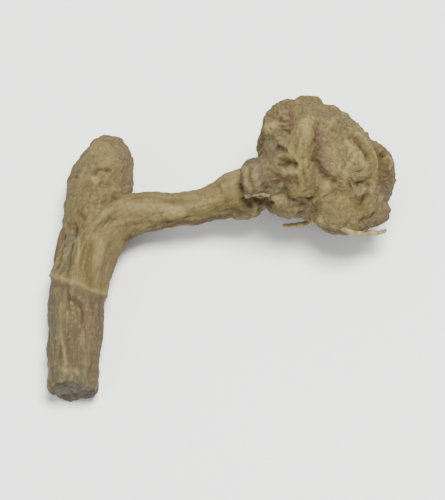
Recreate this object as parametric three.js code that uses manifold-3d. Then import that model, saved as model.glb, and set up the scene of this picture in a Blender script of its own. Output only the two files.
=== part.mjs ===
// One dried black turmeric rhizome, lying on the plane z = 0, in millimetres.
// A swollen mother rhizome carries one finger, which bends round a node and has a blunt branch on the bend.
// They grew as one body, so every organ is joined into a single solid.
// +X runs along the rhizome towards the mother, +Y away from the finger's free end, +Z up.
// The origin is the middle of the bounding box, on its underside.

import * as THREE from "three";
import { mergeVertices } from "three/addons/utils/BufferGeometryUtils.js";
import Module from "manifold-3d";

const wasm = await Module();
wasm.setup();

// Driving dimensions.
const MOTHER_RADIUS = 13.1;
const FINGER_RADIUS = 6.3;
const BRANCH_RADIUS = 6.7;
const BUD_RADIUS = 4.6;
const ROOT_RADIUS = 0.8;
const FOOT_DEPTH = 0.7; // how much of each low spot is flattened where it stands

// How finely the bodies are meshed.
const FRAME_STEPS = 60;
const LOBE_SIDES = 16;
const LOBE_STEPS = 12;
const ROOT_SIDES = 8;
const MERGE_DISTANCE = 1e-4;
const TABLE_SIZE = 400;

const vector = ([x, y, z]) => new THREE.Vector3(x, y, z);

// A closed geometry as a manifold-3d solid: only the positions count, and shared vertices are merged.
function solidOf(geometry) {
  const bare = geometry.clone();
  bare.deleteAttribute("normal");
  bare.deleteAttribute("uv");
  const merged = mergeVertices(bare, MERGE_DISTANCE);
  return new wasm.Manifold(
    new wasm.Mesh({
      numProp: 3,
      vertProperties: merged.attributes.position.array,
      triVerts: new Uint32Array(merged.index.array),
    }),
  );
}

// A manifold-3d solid as a geometry.
function geometryOf(solid) {
  const { vertProperties, triVerts } = solid.getMesh();
  const geometry = new THREE.BufferGeometry();
  geometry.setAttribute("position", new THREE.BufferAttribute(vertProperties, 3));
  geometry.setIndex(new THREE.BufferAttribute(triVerts, 1));
  geometry.computeVertexNormals();
  return geometry;
}

// The outline of an organ as a lathe profile: [share of the length, share of the radius] pairs, joined by a
// smooth curve, with a low ring standing out at each node.
function outline({ length, radius, shape, nodes, ringHeight, ringWidth, steps }) {
  const curve = new THREE.SplineCurve(
    shape.map(([along, out]) => new THREE.Vector2(out * radius, along * length)),
  );
  const points = curve.getSpacedPoints(steps);
  for (const point of points) {
    const fullness = Math.max(point.x, 0) / radius;
    for (const node of nodes) {
      const distance = (point.y - node * length) / ringWidth;
      point.x += ringHeight * fullness * Math.exp(-distance * distance);
    }
    point.x = Math.max(point.x, 0);
  }
  points[0].x = 0;
  points[steps].x = 0;
  return points;
}

// Bends a lathe geometry, whose axis is +Y, along a curve, and makes its section oval and softly ridged.
function bendAlong(geometry, route, length, { oval, ovalTurn, ridges, ridgeHeight, twist }) {
  const { normals, binormals } = route.computeFrenetFrames(FRAME_STEPS, false);
  const position = geometry.attributes.position;
  const centre = new THREE.Vector3();
  const normal = new THREE.Vector3();
  const binormal = new THREE.Vector3();
  for (let i = 0; i < position.count; i++) {
    const share = THREE.MathUtils.clamp(position.getY(i) / length, 0, 1);
    const step = Math.min(Math.floor(share * FRAME_STEPS), FRAME_STEPS - 1);
    const between = share * FRAME_STEPS - step;
    normal.lerpVectors(normals[step], normals[step + 1], between).normalize();
    binormal.lerpVectors(binormals[step], binormals[step + 1], between).normalize();
    route.getPointAt(share, centre);

    const angle = Math.atan2(position.getZ(i), position.getX(i));
    const turned = angle + twist * share;
    const radius =
      Math.hypot(position.getX(i), position.getZ(i)) *
      (1 + oval * Math.cos(2 * (angle - ovalTurn)) + ridgeHeight * Math.sin(ridges * turned));
    centre.addScaledVector(normal, radius * Math.cos(angle));
    centre.addScaledVector(binormal, -radius * Math.sin(angle));
    position.setXYZ(i, centre.x, centre.y, centre.z);
  }
  return geometry;
}

// One organ of the rhizome: a turned body bent along a curve through the given points.
function organ({ route, sides, section, ...form }) {
  const curve = new THREE.CatmullRomCurve3(route.map(vector));
  const length = curve.getLength();
  const turned = new THREE.LatheGeometry(outline({ length, ...form }), sides);
  return solidOf(bendAlong(turned, curve, length, section));
}

// A lobe, welt, knob or bud: a short organ that is full in the middle and rounded at both ends.
function lobe({ radius, route, shape = ROUND, nodes = [] }) {
  return organ({
    route,
    radius,
    shape,
    nodes,
    ringHeight: 0.3,
    ringWidth: 0.7,
    steps: LOBE_STEPS,
    sides: LOBE_SIDES,
    section: { oval: 0.03, ovalTurn: 0.5, ridges: 4, ridgeHeight: 0.015, twist: 0.4 },
  });
}

// A dried root: a thin organ that tapers to a blunt tip.
function root(route) {
  return organ({
    route,
    radius: ROOT_RADIUS,
    shape: [[0, 0], [0.01, 1], [0.6, 0.85], [0.97, 0.6], [1, 0]],
    nodes: [],
    ringHeight: 0,
    ringWidth: 1,
    steps: 12,
    sides: ROOT_SIDES,
    section: { oval: 0.1, ovalTurn: 0, ridges: 3, ridgeHeight: 0.04, twist: 0 },
  });
}

// The usual outlines of lobes, as shares of the length and of the radius.
const ROUND = [
  [0, 0],
  [0.012, 0.28],
  [0.07, 0.6],
  [0.2, 0.88],
  [0.36, 1],
  [0.52, 1],
  [0.7, 0.92],
  [0.86, 0.7],
  [0.95, 0.42],
  [0.99, 0.2],
  [1, 0],
];
const WELT = [
  [0, 0],
  [0.02, 0.3],
  [0.1, 0.62],
  [0.25, 0.92],
  [0.5, 1],
  [0.75, 0.92],
  [0.9, 0.62],
  [0.98, 0.3],
  [1, 0],
];

// The swollen mother rhizome: its axis leads away from the finger, and low rings mark its nodes.
const mother = organ({
  route: [
    [8.8, 14.6, 14],
    [18.4, 14.2, 14.2],
    [28, 10, 13],
    [37.4, 6.4, 11.8],
  ],
  radius: MOTHER_RADIUS,
  shape: [
    [0, 0],
    [0.008, 0.35],
    [0.06, 0.66],
    [0.18, 0.9],
    [0.34, 1],
    [0.52, 0.94],
    [0.66, 0.84],
    [0.8, 0.73],
    [0.92, 0.54],
    [0.985, 0.3],
    [1, 0],
  ],
  nodes: [0.12, 0.25, 0.4, 0.54, 0.67, 0.79, 0.9],
  ringHeight: 0.4,
  ringWidth: 0.9,
  steps: 36,
  sides: 34,
  section: { oval: 0.02, ovalTurn: 0.6, ridges: 5, ridgeHeight: 0.02, twist: 0.8 },
});

// The finger: it leaves the mother slender, bends round a node and thickens towards its broken end.
const finger = organ({
  route: [
    [11, 8.6, 13],
    [5.8, 6.9, 12.2],
    [1, 5.8, 11.2],
    [-4.4, 4.4, 10.2],
    [-10.5, 4.1, 9.1],
    [-17.3, 4, 8.2],
    [-23.2, 1.9, 7.5],
    [-27.4, -2.6, 7],
    [-29.9, -9.5, 6.7],
    [-31, -16.5, 6.4],
    [-31.3, -27, 5.5],
    [-31.3, -39, 4.9],
  ],
  radius: FINGER_RADIUS,
  shape: [
    [0, 0],
    [0.008, 0.6],
    [0.06, 0.85],
    [0.11, 0.8],
    [0.145, 0.64],
    [0.21, 0.56],
    [0.3, 0.62],
    [0.4, 0.76],
    [0.5, 0.94],
    [0.62, 1],
    [0.74, 0.95],
    [0.88, 0.88],
    [0.975, 0.84],
    [0.994, 0.7],
    [1, 0],
  ],
  nodes: [0.125, 0.679, 0.93],
  ringHeight: 0.35,
  ringWidth: 0.8,
  steps: 64,
  sides: 26,
  section: { oval: 0.03, ovalTurn: 1.2, ridges: 6, ridgeHeight: 0.018, twist: -0.7 },
});

// The blunt side branch on the outside of the finger's bend.
const branch = organ({
  route: [
    [-29.4, -8, 7],
    [-28.4, 2, 6.8],
    [-26.7, 12, 6.9],
    [-24.2, 23.8, 7.6],
  ],
  radius: BRANCH_RADIUS,
  shape: [
    [0, 0],
    [0.01, 0.5],
    [0.2, 0.9],
    [0.45, 1.02],
    [0.62, 1.06],
    [0.76, 0.95],
    [0.86, 0.78],
    [0.93, 0.6],
    [0.975, 0.42],
    [1, 0],
  ],
  nodes: [0.52, 0.7, 0.86],
  ringHeight: 0.15,
  ringWidth: 0.9,
  steps: 30,
  sides: 26,
  section: { oval: 0.03, ovalTurn: 0.3, ridges: 5, ridgeHeight: 0.02, twist: 0.6 },
});

// The blunt bud that sits over the finger's root and grows back into the mother.
const bud = lobe({
  radius: BUD_RADIUS,
  route: [
    [4.9, 5.5, 19.3],
    [10.6, 6, 20.8],
    [17.8, 7, 20.7],
  ],
  shape: [
    [0, 0],
    [0.02, 0.4],
    [0.08, 0.74],
    [0.2, 0.96],
    [0.32, 1],
    [0.48, 0.92],
    [0.66, 0.78],
    [0.86, 0.62],
    [1, 0.1],
  ],
  nodes: [0.14, 0.62],
});

// The lobes of the mother rhizome, and the rib beside the slot of the finger's bend.
const lobes = [
  // front lobe, with a smaller one inside it and its foot below
  { radius: 5.4, route: [[26, 16.1, 21.3], [28.4, 9.8, 21.1], [27.2, 4.8, 16.1]], nodes: [0.3] },
  { radius: 2.9, route: [[24.2, 13, 22.7], [25, 9.8, 23], [25.4, 8.1, 20.8]] },
  { radius: 3.4, route: [[27.2, 7.2, 19.6], [25.8, 3.7, 16.7], [25, 1.2, 13.9]] },
  // welt over the middle, from the back to the underside
  {
    radius: 3.9,
    route: [[19.6, 22.9, 21.3], [18.2, 15.3, 24.5], [17.3, 9.1, 23.2], [17.6, 5.1, 19.1], [18.2, 2.3, 14.7]],
    shape: WELT,
  },
  // back lobe, the highest, with a knob at its left and one on top
  { radius: 7.3, route: [[11.8, 19.9, 19.6], [15.4, 17.3, 20.8], [21, 16.9, 20.8]] },
  { radius: 2.4, route: [[13.2, 16.6, 21.6], [10.8, 17, 22.3], [9.6, 17.5, 22.1]] },
  { radius: 3, route: [[16.2, 21.9, 21.2], [19, 22.6, 21.8], [22.6, 23.6, 19.9]] },
  // shoulder behind the bud, with a lid and a lip over the hollow between them
  { radius: 3.5, route: [[10, 13.8, 21.3], [12.4, 11.7, 21.8], [16, 8.9, 21.3]] },
  {
    radius: 1.3,
    route: [[11.6, 13.9, 24.7], [13.8, 11.1, 25.1], [16, 8.4, 24.2], [17.8, 7.2, 22.7]],
    shape: WELT,
  },
  { radius: 1, route: [[11, 8.9, 22.7], [13.6, 8.8, 24.3], [16.4, 8.4, 24]], shape: WELT },
  // foot and heel of the bud
  { radius: 2.6, route: [[12.4, 5.7, 18.1], [14.6, 4.6, 17.7], [17, 4.2, 16.7]] },
  { radius: 1.8, route: [[11, 4.8, 17.8], [12.6, 2.7, 16.6], [13.6, 1.5, 14.2]] },
  // end bud
  { radius: 4.4, route: [[31, 9.6, 14.4], [34.4, 7.6, 15], [37.6, 5.8, 15]], nodes: [0.55] },
  // corner knob
  { radius: 3.6, route: [[31.6, 14.2, 18.1], [34.6, 10.2, 18.4], [35, 5.4, 13.5]] },
  // low lobe, with a swelling on it and a knob at its end
  { radius: 5, route: [[20, 4.1, 13], [27, 1.3, 13.4], [35.4, 3.8, 12.6]] },
  { radius: 4.2, route: [[21.6, 2.4, 13.9], [25.4, 1.4, 14.7], [30, 2.6, 14.7]] },
  { radius: 3.3, route: [[31.8, 2.5, 12.5], [34, 2.1, 11.6], [35.2, 4.2, 9.8]] },
  // lobe under the bud
  { radius: 4.2, route: [[10.8, 5.4, 12.3], [16, 3.5, 14.3], [22, 3.2, 13.6]] },
  // lobes of the far side
  { radius: 5.8, route: [[21, 21, 8.5], [26, 19.6, 12], [28.5, 15.6, 16]], nodes: [0.5] },
  { radius: 4.6, route: [[12, 18.6, 8], [14.6, 21.2, 9.5], [19, 22.4, 12]] },
  // broad lobe that the mother lies on
  { radius: 7, route: [[11, 17, 8], [19, 14.6, 6.4], [28.5, 11, 7]] },
  // rib
  {
    radius: 1.5,
    route: [[-31.6, 5.2, 11.1], [-33.6, 0.2, 7.7], [-35.2, -4.5, 4.6], [-36, -8.2, 2.2]],
    shape: WELT,
  },
].map(lobe);

// Dried roots on the mother's lower half, each from inside the body to its broken tip.
const roots = [
  [[25, -1.7, 14.1], [27.4, -3.4, 14.2], [30.2, -3.5, 11.8], [33.4, -2.1, 9.6], [36.8, -0.6, 8.2]],
  [[21.5, 4.5, 9], [19.6, 2.1, 7.4], [17, 1.7, 6.8], [13.8, 1.5, 6.4]],
  [[28.5, 16.5, 8.5], [31, 20, 6.4], [33, 22.2, 5]],
  [[12, 22, 9], [10.4, 24.6, 7], [9.5, 26, 5.5]],
].map(root);

// Everything below the table is cut off, so the low spots stand on flats.
function standOnTable(solid) {
  const table = new THREE.BoxGeometry(TABLE_SIZE, TABLE_SIZE, TABLE_SIZE);
  table.translate(0, 0, solid.boundingBox().min[2] + FOOT_DEPTH - TABLE_SIZE / 2);
  return solid.subtract(solidOf(table));
}

const organs = [mother, finger, branch, bud, ...lobes, ...roots];
const joined = organs.reduce((whole, next) => whole.add(next));
const geometry = geometryOf(standOnTable(joined));

// The origin goes to the middle of the underside.
geometry.computeBoundingBox();
const { min, max } = geometry.boundingBox;
geometry.translate(-(min.x + max.x) / 2, -(min.y + max.y) / 2, -min.z);

const skin = new THREE.MeshStandardMaterial({ color: 0x96866a, roughness: 0.9, metalness: 0 });
const rhizome = new THREE.Mesh(geometry, skin);
rhizome.name = "rhizome";

const part = new THREE.Group();
part.add(rhizome);

export default part;
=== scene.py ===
# A dried black turmeric rhizome, lying on a pale table.
# It is modelled in millimetres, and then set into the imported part's own box in metres.
import math
import random

import bmesh
import bpy
from mathutils import Matrix, Vector, kdtree, noise


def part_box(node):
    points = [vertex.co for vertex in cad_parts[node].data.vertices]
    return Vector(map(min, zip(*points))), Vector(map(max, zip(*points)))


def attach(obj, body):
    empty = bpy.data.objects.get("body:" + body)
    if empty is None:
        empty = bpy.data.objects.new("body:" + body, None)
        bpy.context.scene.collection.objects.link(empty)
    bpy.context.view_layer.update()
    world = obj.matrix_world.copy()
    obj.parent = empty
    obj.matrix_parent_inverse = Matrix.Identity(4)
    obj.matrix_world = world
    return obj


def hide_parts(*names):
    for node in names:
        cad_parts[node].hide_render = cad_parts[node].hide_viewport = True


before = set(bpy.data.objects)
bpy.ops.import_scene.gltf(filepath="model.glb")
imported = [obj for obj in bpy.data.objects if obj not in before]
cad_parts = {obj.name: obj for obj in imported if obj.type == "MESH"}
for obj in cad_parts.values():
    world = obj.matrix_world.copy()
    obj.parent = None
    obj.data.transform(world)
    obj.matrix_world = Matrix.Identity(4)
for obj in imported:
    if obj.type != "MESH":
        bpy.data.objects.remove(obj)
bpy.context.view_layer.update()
NODE_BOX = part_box("rhizome")

MM = 0.001
SAMPLES = 160  # places along each middle line
CURVE_STEPS = 24  # places worked out between two given points of a line
OUTLINE_PLACES = 90  # places along each organ's outline
ORGAN_SIDES = 36  # of each section
TABLE_HEIGHT = -0.16  # the table's height in the millimetres that the organs are laid out in
ORIGIN = Vector((0.59, -5.88, TABLE_HEIGHT))  # the part's origin in those millimetres
random.seed(7)
noise.seed_set(6)  # without this the noise that gives places starts from the clock


# ---------------------------------------------------------------- organs

def smooth_line(points, count):
    """Evenly spaced places on a smooth line through the points."""
    ends = [points[0] * 2 - points[1], *points, points[-1] * 2 - points[-2]]
    fine = []
    for i in range(1, len(ends) - 2):
        a, b, c, d = ends[i - 1 : i + 3]
        for step in range(CURVE_STEPS):
            t = step / CURVE_STEPS
            bent = 2 * b + (c - a) * t + (2 * a - 5 * b + 4 * c - d) * t**2 + (3 * b - a - 3 * c + d) * t**3
            fine.append(0.5 * bent)
    fine.append(points[-1].copy())
    reach = [0.0]
    for a, b in zip(fine, fine[1:]):
        reach.append(reach[-1] + (b - a).length)
    places, i = [], 0
    for k in range(count):
        target = reach[-1] * k / (count - 1)
        while i < len(fine) - 2 and reach[i + 1] < target:
            i += 1
        share = (target - reach[i]) / max(reach[i + 1] - reach[i], 1e-9)
        places.append(fine[i].lerp(fine[i + 1], min(share, 1)))
    return places


class Organ:
    """A length of the rhizome: a middle line, how thick it is along it, and the rings round it.

    along_grain, ringed and lumpy say how tall the furrows along it, the wrinkles round it and the lumps are.
    tints are places along it, in millimetres, with how yellow the skin is there. slant leans the tints over.
    """

    def __init__(self, route, radius, shape, rings=(), along_grain=0.3, ringed=0.5, lumpy=0.6, twist=0.0,
                 tints=((0, 0.5),), slant=(0, 0), scars=0):
        self.rings, self.tints, self.slant = rings, tints, slant
        self.along_grain, self.ringed, self.lumpy = along_grain, ringed, lumpy
        self.twist, self.scars = twist, scars
        self.line = smooth_line([Vector(p) for p in route], SAMPLES)
        self.length = sum((b - a).length for a, b in zip(self.line, self.line[1:]))
        self.step = self.length / (SAMPLES - 1)
        self.ahead, self.up, self.side = [], [], []
        for i in range(SAMPLES):
            t = (self.line[min(i + 1, SAMPLES - 1)] - self.line[max(i - 1, 0)]).normalized()
            u = (Vector((0, 0, 1)) - t * t.z).normalized()
            self.ahead.append(t)
            self.up.append(u)
            self.side.append(t.cross(u))
        outline = smooth_line([Vector((a * self.length, r * radius)) for a, r in shape], OUTLINE_PLACES)
        self.outline = [(min(max(p.x, 0), self.length), max(p.y, 0.05)) for p in outline]
        self.tree = kdtree.KDTree(SAMPLES)
        for i, p in enumerate(self.line):
            self.tree.insert(p, i)
        self.tree.balance()
        self.radii = [self._radius(i * self.step) for i in range(SAMPLES)]

    def _radius(self, s):
        for (a, ra), (b, rb) in zip(self.outline, self.outline[1:]):
            if a <= s <= b:
                return ra + (rb - ra) * (s - a) / max(b - a, 1e-9)
        return self.outline[-1][1]

    def station(self, s, radius):
        """Where a unit circle goes to become the section at s."""
        at = min(s / self.step, SAMPLES - 1.001)
        i = int(at)
        share = at - i
        middle = self.line[i].lerp(self.line[i + 1], share)
        t = self.ahead[i].lerp(self.ahead[i + 1], share).normalized()
        u = self.up[i].lerp(self.up[i + 1], share).normalized()
        v = t.cross(u)
        turn = Matrix((u * radius, v * radius, t)).transposed().to_4x4()
        return Matrix.Translation(middle) @ turn

    def locate(self, p):
        """How far along p is, its two offsets from the middle line, and its height over the smooth body."""
        _, i, _ = self.tree.find(p)
        d = p - self.line[i]
        on = d.dot(self.ahead[i])
        if 0 < i < SAMPLES - 1:
            on = min(max(on, -self.step), self.step)
        x, y = d.dot(self.up[i]), d.dot(self.side[i])
        s = i * self.step + on
        beyond = max(-s, s - self.length, 0.0)
        gap = math.hypot(x, y) - self.radii[i] if beyond == 0 else math.hypot(math.hypot(x, y), beyond)
        return s, x, y, gap

    def tint_at(self, s, x, y):
        """How yellow the skin is here, from 0, mauve brown, to 1, olive."""
        lean, lean_turn = self.slant
        s -= lean * math.cos(math.atan2(y, x) - math.radians(lean_turn))
        tint = self.tints[0][1]
        for (a, before), (b, after) in zip(self.tints, self.tints[1:]):
            if s > a:
                tint = before + (after - before) * min(1, (s - a) / (b - a))
        return tint

    def swell(self, bm):
        """Adds the smooth body to a bmesh."""
        tube(bm, [self.station(s, r) for s, r in self.outline], ORGAN_SIDES)


def tube(bm, stations, sides):
    """Adds a closed tube: a circle extruded from station to station. Returns its points."""
    here = stations[0]
    edge = bmesh.ops.create_circle(bm, cap_ends=True, segments=sides, radius=1.0, matrix=here)["verts"]
    made = list(edge)
    edges = list(dict.fromkeys(e for v in edge for e in v.link_edges))
    for there in stations[1:]:
        grown = bmesh.ops.extrude_edge_only(bm, edges=edges)["geom"]
        edge = [g for g in grown if isinstance(g, bmesh.types.BMVert)]
        edges = [g for g in grown if isinstance(g, bmesh.types.BMEdge) and set(g.verts) <= set(edge)]
        bmesh.ops.transform(bm, matrix=there @ here.inverted(), verts=edge)
        made += edge
        here = there
    bmesh.ops.edgeloop_fill(bm, edges=edges)
    return made


TILT = math.radians(60)  # the upper side is laid out as it is seen from this high, from the front
NEAR = Vector((0, -math.cos(TILT), math.sin(TILT)))  # towards that view
UP = Vector((0, math.sin(TILT), math.cos(TILT)))  # upwards in it


def laid_out(*places):
    """Turns places told as how far right, up and near they lie in the tilted view into upright ones."""
    return [(x, math.sin(TILT) * up - math.cos(TILT) * near, math.cos(TILT) * up + math.sin(TILT) * near)
            for x, up, near in places]


ROUND = [(0, 0), (0.012, 0.28), (0.07, 0.6), (0.2, 0.88), (0.36, 1), (0.52, 1), (0.7, 0.92), (0.86, 0.7),
         (0.95, 0.42), (0.99, 0.2), (1, 0)]
WELT = [(0, 0), (0.02, 0.3), (0.1, 0.62), (0.25, 0.92), (0.5, 1), (0.75, 0.92), (0.9, 0.62), (0.98, 0.3),
        (1, 0)]

# Each organ: the places it runs through, its radius, and its shape, as pairs of a share of its length and a
# share of its radius. Each ring: its share of the length, its height and width, how far it slants and to
# which side, in degrees round from the top, and how ragged it is.
MOTHER = Organ(
    [(8.8, 14.6, 14), (18.4, 14.2, 14.2), (28, 10, 13), (37.4, 6.4, 11.8)],
    12.6,
    [(0, 0), (0.008, 0.35), (0.06, 0.66), (0.18, 0.9), (0.34, 1), (0.52, 0.94), (0.66, 0.84), (0.8, 0.73),
     (0.92, 0.54), (0.985, 0.3), (1, 0)],
    rings=[(0.12, 0.4, 0.8, 0.8, 200, 1), (0.25, 0.55, 0.9, 1.6, 40, 1), (0.4, 0.6, 1.0, -1.8, 100, 1),
           (0.54, 0.55, 0.9, 1.9, 10, 1), (0.67, 0.6, 0.9, 1.4, 200, 1), (0.79, 0.5, 0.7, 1.0, 90, 1),
           (0.9, 0.4, 0.6, 0.6, 0, 1)],
    along_grain=0.4, ringed=0.7, lumpy=0.9, twist=0.012,
    tints=[(0, 0.45), (10, 0.85), (22, 0.7), (33, 0.35)], scars=16,
)
FINGER = Organ(
    [(11, 8.6, 13), (5.8, 6.9, 12.2), (1, 5.8, 11.2), (-4.4, 4.4, 10.2), (-10.5, 4.1, 9.1), (-17.3, 4.0, 8.2),
     (-23.2, 1.9, 7.5), (-27.4, -2.6, 7), (-29.9, -9.5, 6.7), (-31, -16.5, 6.4), (-31.3, -27, 5.5),
     (-31.3, -39, 4.9)],
    6.3,
    [(0, 0), (0.008, 0.6), (0.06, 0.85), (0.11, 0.8), (0.145, 0.64), (0.21, 0.56), (0.3, 0.62), (0.4, 0.76),
     (0.5, 0.94), (0.62, 1), (0.74, 0.95), (0.88, 0.88), (0.975, 0.84), (0.994, 0.7), (1, 0)],
    rings=[(0.125, 0.25, 0.8, 0.4, 90, 1), (0.679, 0.5, 1.15, 3.0, -33, 0.35), (0.93, 0.12, 0.6, 0.7, 0, 1)],
    along_grain=0.6, ringed=0.25, lumpy=0.4, twist=0.02,
    tints=[(0, 0.75), (30, 0.85), (44, 0.75), (53, 0.65), (55, 0.12), (79, 0.05)], slant=(3.0, -33), scars=4,
)
BRANCH = Organ(
    [(-29.4, -8, 7), (-28.4, 2, 6.8), (-26.7, 12, 6.9), (-24.2, 23.8, 7.6)],
    6.7,
    [(0, 0), (0.01, 0.5), (0.2, 0.9), (0.45, 1.02), (0.62, 1.06), (0.76, 0.95), (0.86, 0.78), (0.93, 0.6),
     (0.975, 0.42), (1, 0)],
    rings=[(0.52, 0.15, 0.9, 1.4, 20, 1), (0.7, 0.15, 0.8, 1.2, 60, 1), (0.86, 0.1, 0.7, 0.6, 0, 1)],
    along_grain=0.45, ringed=0.45, twist=-0.02, tints=[(0, 0.6), (31, 0.65)], scars=3,
)
BUD = Organ(
    laid_out((4.9, 14.4, 14), (10.6, 15.6, 15), (17.8, 16.4, 14.4)),
    4.6,
    [(0, 0), (0.02, 0.4), (0.08, 0.74), (0.2, 0.96), (0.32, 1), (0.48, 0.92), (0.66, 0.78), (0.86, 0.62),
     (1, 0.1)],
    rings=[(0.14, 0.3, 0.5, 0.4, 0, 0.6), (0.62, 0.18, 0.6, 0.6, 20, 1)],
    along_grain=0.35, lumpy=0.5, twist=0.05, tints=[(0, 0.2), (12, 0.05)],
)

# The lobes, knobs and small buds follow the four that carry them.
ORGANS = [
    MOTHER, FINGER, BRANCH, BUD,
    # front lobe
    Organ(laid_out((26, 24.6, 10.4), (28.4, 19, 13.4), (27.2, 12.2, 11.6)), 5.4, ROUND,
          rings=[(0.3, 0.2, 0.8, 0.9, 30, 1)],
          along_grain=0.15, ringed=0.35, lumpy=0.8, twist=0.05, tints=[(0, 0.9), (12, 0.95), (20, 0.6)]),
    # inner lobe
    Organ(laid_out((24.2, 22.6, 13.2), (25, 20, 15), (25.4, 17.4, 14)), 2.9, ROUND,
          along_grain=0.15, ringed=0.3, lumpy=0.8, tints=[(0, 0.8)]),
    # pale welt
    Organ(laid_out((19.6, 30.5, 7), (18.2, 25.5, 13.6), (17.3, 19.5, 15.5), (17.6, 14, 14.8),
                   (18.2, 9.4, 12.4)), 3.9, WELT,
          along_grain=0.45, ringed=0.3, lumpy=0.8, tints=[(0, 0.9)]),
    # back lobe
    Organ(laid_out((11.8, 27, 7), (15.4, 25.4, 9.4), (21, 25, 9.6)), 7.3, ROUND,
          ringed=0.6, lumpy=0.9, scars=2),
    # bud shoulder
    Organ(laid_out((10, 22.6, 11.6), (12.4, 21, 13), (16, 18.4, 14)), 3.5, ROUND,
          along_grain=0.2, lumpy=0.5, tints=[(0, 0.3)]),
    # lip
    Organ(laid_out((11, 19, 15.2), (13.6, 19.8, 16.6), (16.4, 19.3, 16.6)), 1.0, WELT,
          ringed=0.3, lumpy=0.2),
    # lobe foot
    Organ(laid_out((27.2, 16, 13.4), (25.8, 11.6, 12.6), (25, 8, 11.4)), 3.4, ROUND,
          along_grain=0.2, ringed=0.3, lumpy=0.7, tints=[(0, 0.9)]),
    # lid
    Organ(laid_out((11.6, 24.4, 14.4), (13.8, 22.2, 16.2), (16, 19.4, 16.8), (17.8, 17.6, 16)), 1.3, WELT,
          along_grain=0.4, ringed=0.6, lumpy=0.5, tints=[(0, 0.6)]),
    # end bud
    Organ([(31, 9.6, 14.4), (34.4, 7.6, 15), (37.6, 5.8, 15)], 4.4, ROUND,
          rings=[(0.55, 0.3, 0.5, 0, 0, 1)], tints=[(0, 0.3)], scars=1),
    # corner knob
    Organ(laid_out((31.6, 21.4, 8.6), (34.6, 18, 10.8), (35, 11.4, 9)), 3.6, ROUND,
          tints=[(0, 0.45)], scars=1),
    # low lobe
    Organ(laid_out((20, 10, 9.2), (27, 7.8, 11), (35.4, 9.6, 9)), 5.0, ROUND,
          lumpy=0.7, tints=[(0, 0.85)]),
    # low swell
    Organ(laid_out((21.6, 9.4, 10.8), (25.4, 9.4, 12.2), (30, 10, 11.4)), 4.3, ROUND,
          along_grain=0.2, ringed=0.4, lumpy=0.7, tints=[(0, 0.85)]),
    # low end
    Organ(laid_out((31.8, 8.4, 9.6), (34, 7.6, 9), (35.2, 8.6, 6.4)), 3.3, ROUND,
          tints=[(0, 0.3)]),
    # under lobe
    Organ(laid_out((10.8, 10.8, 8), (16, 10.2, 10.6), (22, 9.6, 10.2)), 4.2, ROUND,
          along_grain=0.5, ringed=0.6, tints=[(0, 0.2)]),
    # bud foot
    Organ(laid_out((12.4, 14, 12.8), (14.6, 12.8, 13), (17, 12, 12.4)), 2.6, ROUND,
          ringed=0.4, lumpy=0.5, tints=[(0, 0.2)]),
    # bud heel
    Organ(laid_out((11, 13, 13), (12.6, 10.6, 13), (13.6, 8.4, 11.6)), 1.8, ROUND,
          lumpy=0.5, tints=[(0, 0.8)]),
    # left knob
    Organ(laid_out((13.2, 25.2, 10.4), (10.8, 25.9, 10.8), (9.6, 26.2, 10.4)), 2.4, ROUND,
          along_grain=0.5, lumpy=0.4, tints=[(0, 0.7)]),
    # top knob
    Organ(laid_out((16.2, 29.6, 7.4), (19, 30.5, 7.6), (22.6, 30.4, 5.4)), 3.0, ROUND,
          lumpy=0.5, tints=[(0, 0.7)]),
    # rear lobe
    Organ([(21, 21, 8.5), (26, 19.6, 12), (28.5, 15.6, 16)], 5.8, ROUND,
          rings=[(0.5, 0.3, 0.7, 0.5, 0, 1)], ringed=0.6, lumpy=0.7, scars=2),
    # rear knob
    Organ([(12, 18.6, 8), (14.6, 21.2, 9.5), (19, 22.4, 12)], 4.6, ROUND,
          ringed=0.6, lumpy=0.7, tints=[(0, 0.4)], scars=1),
    # foot lobe
    Organ([(11, 17, 8), (19, 14.6, 6.4), (28.5, 11, 7)], 7.0, ROUND,
          along_grain=0.35, ringed=0.6, lumpy=0.7, tints=[(0, 0.4)], scars=3),
    # side rib
    Organ(laid_out((-31.6, 10, 7), (-33.6, 4, 6.6), (-35.2, -1.6, 6.2), (-36, -6, 6)), 1.5, WELT,
          ringed=0.3, lumpy=0.2, tints=[(0, 0.3)]),
]

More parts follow.
